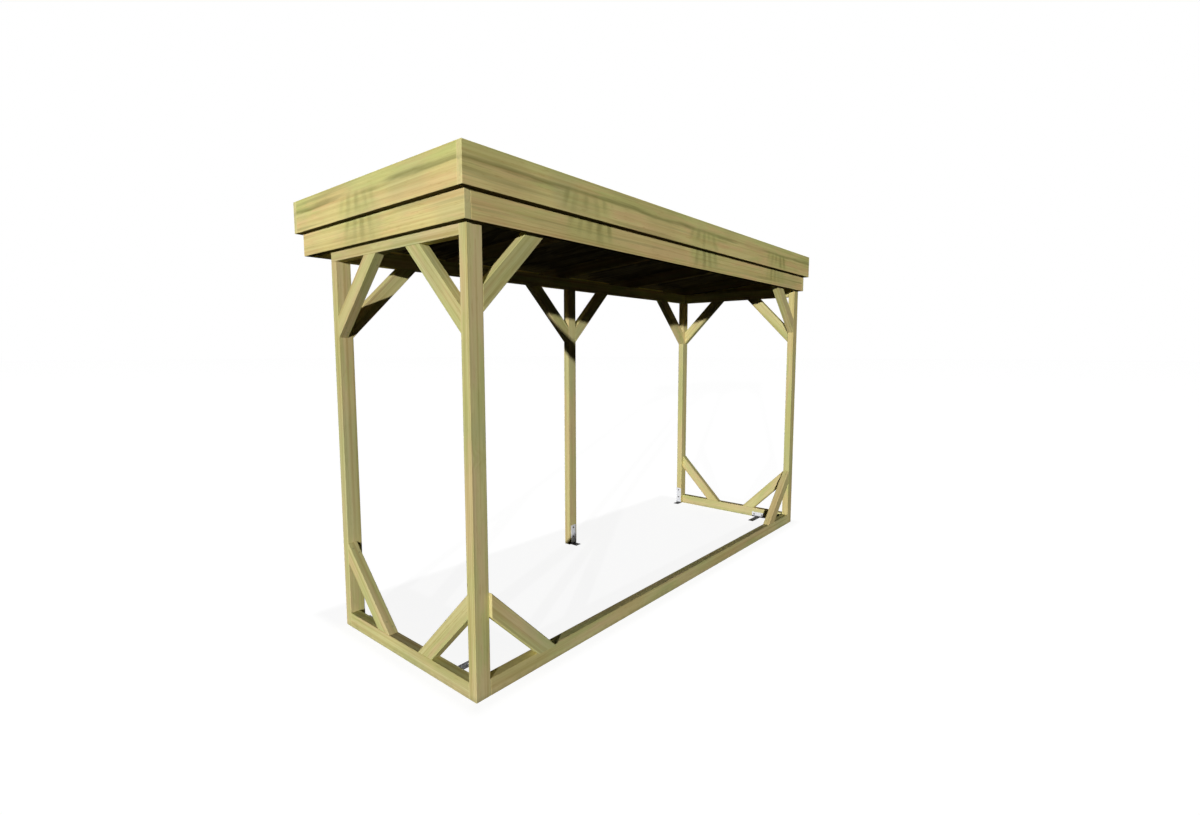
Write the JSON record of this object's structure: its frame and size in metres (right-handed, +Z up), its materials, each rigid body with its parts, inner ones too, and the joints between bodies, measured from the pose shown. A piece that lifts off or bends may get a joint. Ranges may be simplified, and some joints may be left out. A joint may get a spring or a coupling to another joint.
{
  "type": "log store",
  "caption": "Open timber frame for stacking logs, braced at its corners, on steel-footed posts, under a box-edged roof that falls to deep eaves at the open side.",
  "frame": {"origin": "on the ground under the centre of the roof", "axes": "+X along the length to the right end, +Y from the railed front to the open back, +Z up"},
  "size_m": [3.202, 1.312, 2.052],
  "materials": {
    "frame_wood": "pressure-treated softwood with a green tint, planed, bare",
    "fascia_wood": "pressure-treated softwood boards with strong long grain, planed, bare",
    "roof_wood": "sawn softwood and sheet, bare",
    "roof_membrane": "black rubber roofing sheet, matt",
    "galvanised_steel": "hot-dip galvanised, dull spangle"
  },
  "bodies": {
    "root": {"post_front_left": "frame_wood", "post_front_right": "frame_wood", "post_back_left": "frame_wood", "post_back_middle": "frame_wood", "post_back_right": "frame_wood", "rail_bottom_front": "frame_wood", "rail_bottom_left": "frame_wood", "rail_bottom_right": "frame_wood", "rail_top_front": "frame_wood", "rail_top_back": "frame_wood", "rail_top_left": "frame_wood", "rail_top_right": "frame_wood", "brace_front_lower_left": "frame_wood", "brace_front_lower_right": "frame_wood", "brace_front_upper_left": "frame_wood", "brace_front_upper_right": "frame_wood", "brace_back_left": "frame_wood", "brace_back_middle_left": "frame_wood", "brace_back_middle_right": "frame_wood", "brace_back_right": "frame_wood", "brace_left_lower_front": "frame_wood", "brace_left_lower_back": "frame_wood", "brace_left_upper_front": "frame_wood", "brace_left_upper_back": "frame_wood", "brace_right_lower_front": "frame_wood", "brace_right_lower_back": "frame_wood", "brace_right_upper_front": "frame_wood", "brace_right_upper_back": "frame_wood", "rafter_1": "roof_wood", "rafter_2": "roof_wood", "rafter_3": "roof_wood", "rafter_4": "roof_wood", "rafter_5": "roof_wood", "roof_deck_left": "roof_wood", "roof_deck_right": "roof_wood", "roof_covering": "roof_membrane", "fascia_lower_front": "fascia_wood", "fascia_lower_back": "fascia_wood", "fascia_lower_left": "fascia_wood", "fascia_lower_right": "fascia_wood", "fascia_upper_front": "fascia_wood", "fascia_upper_back": "fascia_wood", "fascia_upper_left": "fascia_wood", "fascia_upper_right": "fascia_wood", "foot_bracket_back_left": "galvanised_steel", "foot_bracket_back_middle": "galvanised_steel", "foot_bracket_back_right": "galvanised_steel", "rail_cleat_left": "galvanised_steel", "rail_cleat_right": "galvanised_steel"}
  },
  "joints": []
}
